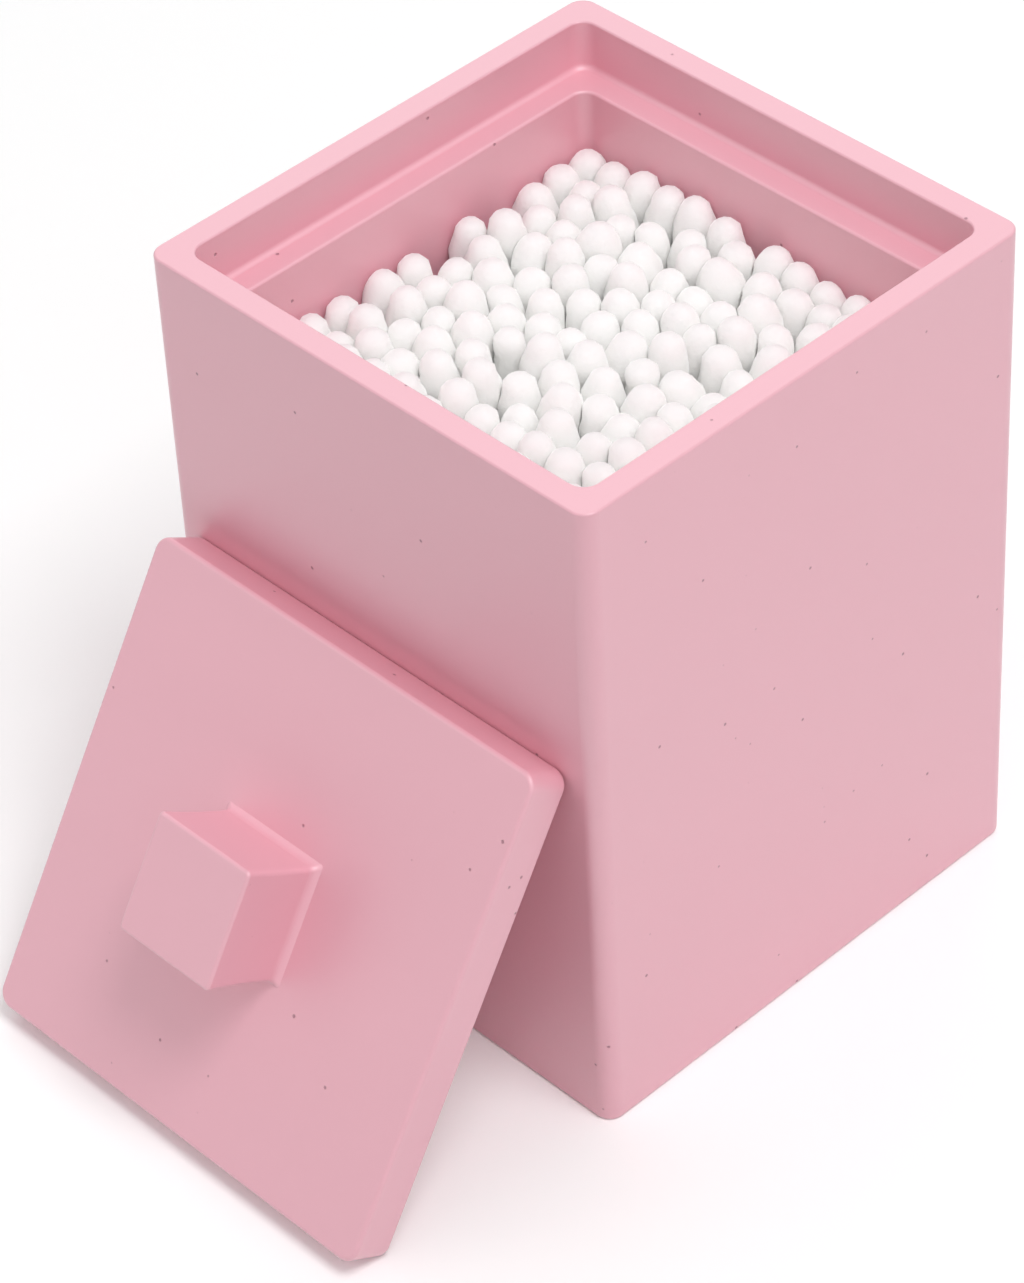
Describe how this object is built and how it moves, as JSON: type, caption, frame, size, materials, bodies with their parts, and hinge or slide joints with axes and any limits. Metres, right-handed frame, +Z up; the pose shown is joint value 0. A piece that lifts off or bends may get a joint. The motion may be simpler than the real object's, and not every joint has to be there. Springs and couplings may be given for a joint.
{
  "type": "cotton swab holder",
  "caption": "Square cast canister holding standing cotton swabs, with a square knobbed lid leaning on its front wall.",
  "frame": {"origin": "middle of the canister's foot, on the table that it stands on", "axes": "+Z up; -Y out of the front wall, which the lid leans on; +X to the right of that wall"},
  "size_m": [0.077, 0.1184, 0.1018],
  "materials": {
    "canister_resin": "satin pink",
    "lid_resin": "satin pink",
    "knob_resin": "satin pink",
    "rolled_paper": "matt",
    "cotton": "matt"
  },
  "bodies": {
    "canister": {"canister_body": "canister_resin"},
    "lid": {"lid_plate": "lid_resin", "lid_knob": "knob_resin"},
    "swabs": {"swab_sticks_row_01": "rolled_paper", "cotton_buds_row_01": "cotton", "swab_sticks_row_02": "rolled_paper", "cotton_buds_row_02": "cotton", "swab_sticks_row_03": "rolled_paper", "cotton_buds_row_03": "cotton", "swab_sticks_row_04": "rolled_paper", "cotton_buds_row_04": "cotton", "swab_sticks_row_05": "rolled_paper", "cotton_buds_row_05": "cotton", "swab_sticks_row_06": "rolled_paper", "cotton_buds_row_06": "cotton", "swab_sticks_row_07": "rolled_paper", "cotton_buds_row_07": "cotton", "swab_sticks_row_08": "rolled_paper", "cotton_buds_row_08": "cotton", "swab_sticks_row_09": "rolled_paper", "cotton_buds_row_09": "cotton", "swab_sticks_row_10": "rolled_paper", "cotton_buds_row_10": "cotton", "swab_sticks_row_11": "rolled_paper", "cotton_buds_row_11": "cotton", "swab_sticks_row_12": "rolled_paper", "cotton_buds_row_12": "cotton"},
    "loose_swab_1": {"loose_swab_1_stick": "rolled_paper", "loose_swab_1_buds": "cotton"},
    "loose_swab_2": {"loose_swab_2_stick": "rolled_paper", "loose_swab_2_buds": "cotton"}
  },
  "joints": [
    {"name": "lid_lift", "type": "slide", "parent": "canister", "child": "lid", "axis": [0, -0.8526, 0.5225], "range_m": [0, 0.11]},
    {"name": "swabs_lift", "type": "slide", "parent": "canister", "child": "swabs", "axis": [0, 0, 1], "range_m": [0, 0.095]},
    {"name": "loose_swab_1_lift", "type": "slide", "parent": "canister", "child": "loose_swab_1", "axis": [0, 0, 1], "range_m": [0, 0.095]},
    {"name": "loose_swab_2_lift", "type": "slide", "parent": "canister", "child": "loose_swab_2", "axis": [0, 0, 1], "range_m": [0, 0.095]}
  ]
}
